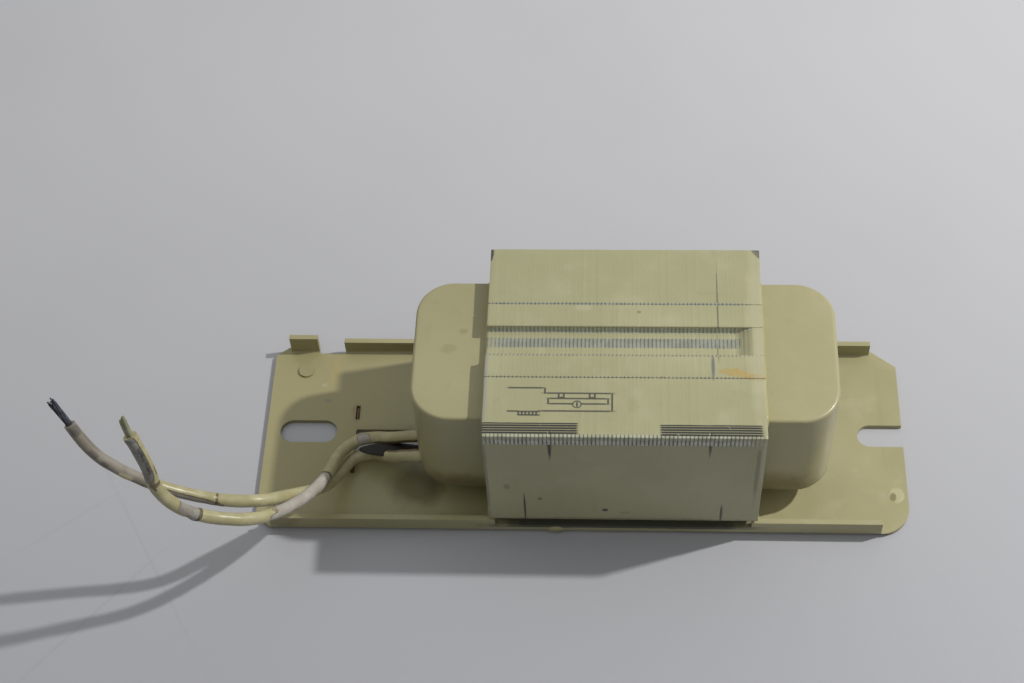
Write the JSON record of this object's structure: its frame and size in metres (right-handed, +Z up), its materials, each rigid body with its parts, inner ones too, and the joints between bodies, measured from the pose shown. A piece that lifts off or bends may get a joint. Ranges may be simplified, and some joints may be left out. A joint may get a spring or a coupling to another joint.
{
  "type": "lamp ballast",
  "caption": "Open magnetic choke ballast: a laminated core between moulded coil covers on a folded, slotted base plate, with stiff wire leads.",
  "frame": {"origin": "middle of the base plate's underside", "axes": "+X along the base plate towards the end with the open notch, +Z up from the plate"},
  "size_m": [0.1495, 0.0557, 0.0537],
  "materials": {
    "varnished_steel": "glossy cream dip varnish",
    "cover": "glossy cream dip varnish over moulded plastic",
    "former": "satin",
    "enamelled_wire": "glossy wire enamel",
    "tape": "satin",
    "pressboard": "matt",
    "crimp": "tinned",
    "lead_jacket": "varnish over plastic, peeling",
    "strands": "tinned, dull"
  },
  "bodies": {
    "root": {"base_plate": "varnished_steel", "core_shell": "varnished_steel", "core_limb": "varnished_steel", "air_gap_strip": "pressboard", "coil_former": "former", "winding": "enamelled_wire", "winding_wrap": "tape", "left_end_cover": "cover", "right_end_cover": "cover", "short_lead_crimp": "crimp", "long_lead_crimp": "crimp", "short_lead": "lead_jacket", "short_lead_strands": "strands", "long_lead": "lead_jacket", "long_lead_strands": "strands"}
  },
  "joints": []
}
